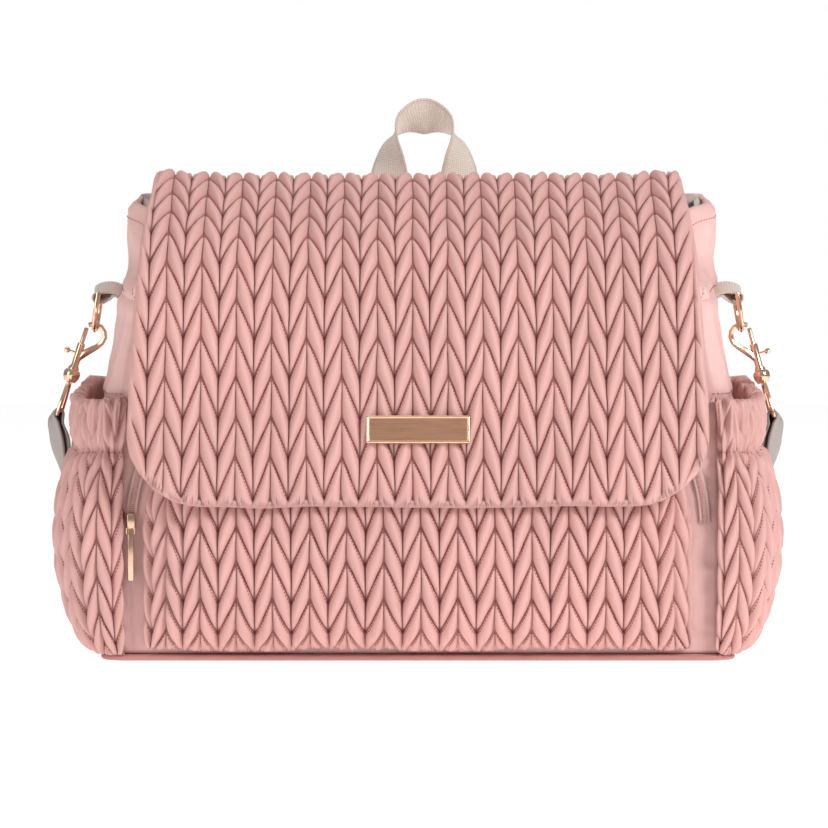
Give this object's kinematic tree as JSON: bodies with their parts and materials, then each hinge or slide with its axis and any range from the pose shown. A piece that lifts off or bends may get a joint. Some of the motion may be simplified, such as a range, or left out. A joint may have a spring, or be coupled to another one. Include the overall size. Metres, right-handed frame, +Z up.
{
  "type": "diaper bag",
  "caption": "Boxy fabric diaper bag with a quilted drop flap, zipped front pocket, gathered side pockets, webbing carry handle and a clip-on shoulder strap",
  "frame": {"origin": "on the surface the bag stands on, under the middle of its base between the left and right edges", "axes": "+Z up, the flap and front pocket face -Y, +X is the viewer's right when facing the front"},
  "size_m": [0.4524, 0.1948, 0.3457],
  "materials": {
    "quilted_satin": "pink satin nylon, puff quilted in a plaited pattern",
    "plain_satin": "pink satin nylon over thin foam",
    "webbing": "ribbed beige and grey webbing",
    "lining": "plain woven lining",
    "zip_tape": "pale pink coil zip and tape",
    "elastic": "woven elastic",
    "stiffener": "plain board and foam",
    "rose_gold": "polished rose gold plate on cast zinc and steel wire",
    "magnet_steel": "plated steel"
  },
  "bodies": {
    "bag": {"front_panel": "plain_satin", "back_panel": "plain_satin", "left_gusset_lower": "plain_satin", "left_gusset_upper": "plain_satin", "right_gusset_lower": "plain_satin", "right_gusset_upper": "plain_satin", "base_panel": "plain_satin", "base_piping": "plain_satin", "base_board": "stiffener", "back_foam": "stiffener", "lining": "lining", "inner_slip_pocket": "lining", "front_pocket": "quilted_satin", "zip_coil": "zip_tape", "left_side_pocket": "quilted_satin", "right_side_pocket": "quilted_satin", "left_pocket_elastic": "elastic", "right_pocket_elastic": "elastic", "left_pocket_magnet": "magnet_steel", "right_pocket_magnet": "magnet_steel", "left_tab": "webbing", "right_tab": "webbing", "shoulder_strap": "webbing"},
    "handle": {"carry_handle": "webbing"},
    "flap": {"flap_top": "quilted_satin"},
    "flap_drop": {"flap_front": "quilted_satin", "name_plate": "rose_gold", "left_flap_magnet": "magnet_steel", "right_flap_magnet": "magnet_steel"},
    "slider": {"zip_slider": "rose_gold"},
    "pull": {"zip_pull": "rose_gold"},
    "left_clip": {"left_d_ring": "rose_gold", "left_swivel": "rose_gold"},
    "left_snap_hook": {"left_hook": "rose_gold", "left_gate_spring": "magnet_steel"},
    "left_trigger": {"left_gate": "rose_gold"},
    "right_clip": {"right_d_ring": "rose_gold", "right_swivel": "rose_gold"},
    "right_snap_hook": {"right_hook": "rose_gold", "right_gate_spring": "magnet_steel"},
    "right_trigger": {"right_gate": "rose_gold"},
    "adjuster": {"slide_adjuster": "rose_gold"}
  },
  "joints": [
    {"name": "flap_hinge", "type": "hinge", "parent": "bag", "child": "flap", "pos_m": [0, 0.0655, 0.2925], "axis": [-1, 0, 0], "range_deg": [0, 85]},
    {"name": "flap_fold", "type": "hinge", "parent": "flap", "child": "flap_drop", "pos_m": [0, -0.0409, 0.2378], "axis": [-1, 0, 0], "range_deg": [0, 90]},
    {"name": "handle_lean", "type": "hinge", "parent": "bag", "child": "handle", "pos_m": [0, 0.0718, 0.28], "axis": [-1, 0, 0], "range_deg": [0, 80], "stiffness_Nm_per_rad": 0.02, "springref_deg": -14.32},
    {"name": "zip_run", "type": "hinge", "parent": "bag", "child": "slider", "pos_m": [-0.076, -0.0446, 0.083], "axis": [0, 0.9979, -0.0649], "range_deg": [0, 90]},
    {"name": "pull_swing", "type": "hinge", "parent": "slider", "child": "pull", "pos_m": [-0.173, -0.05151, 0.0785], "axis": [-1, 0, 0], "range_deg": [0, 150]},
    {"name": "left_clip_swing", "type": "hinge", "parent": "bag", "child": "left_clip", "pos_m": [-0.1975, 0.03, 0.2215], "axis": [0, 1, 0], "range_deg": [0, 30], "deforming": ["shoulder_strap"]},
    {"name": "left_hook_spin", "type": "hinge", "parent": "left_clip", "child": "left_snap_hook", "pos_m": [-0.2143, 0.03, 0.1744], "axis": [-0.309, 0, -0.9511], "range_deg": [-12, 12]},
    {"name": "left_trigger_slide", "type": "slide", "parent": "left_snap_hook", "child": "left_trigger", "axis": [-0.309, 0, -0.9511], "range_m": [0, 0.007], "stiffness_N_per_m": 300, "springref_m": -0.002, "deforming": ["left_gate_spring"]},
    {"name": "right_clip_swing", "type": "hinge", "parent": "bag", "child": "right_clip", "pos_m": [0.1975, 0.03, 0.2215], "axis": [0, -1, 0], "range_deg": [0, 30], "deforming": ["shoulder_strap"]},
    {"name": "right_hook_spin", "type": "hinge", "parent": "right_clip", "child": "right_snap_hook", "pos_m": [0.213, 0.03, 0.1738], "axis": [0.2588, 0, -0.9659], "range_deg": [-12, 12]},
    {"name": "right_trigger_slide", "type": "slide", "parent": "right_snap_hook", "child": "right_trigger", "axis": [0.2588, 0, -0.9659], "range_m": [0, 0.007], "stiffness_N_per_m": 300, "springref_m": -0.002, "deforming": ["right_gate_spring"]},
    {"name": "adjuster_slide", "type": "slide", "parent": "bag", "child": "adjuster", "axis": [1, 0, 0], "range_m": [-0.08, 0.06], "deforming": ["shoulder_strap"]}
  ]
}
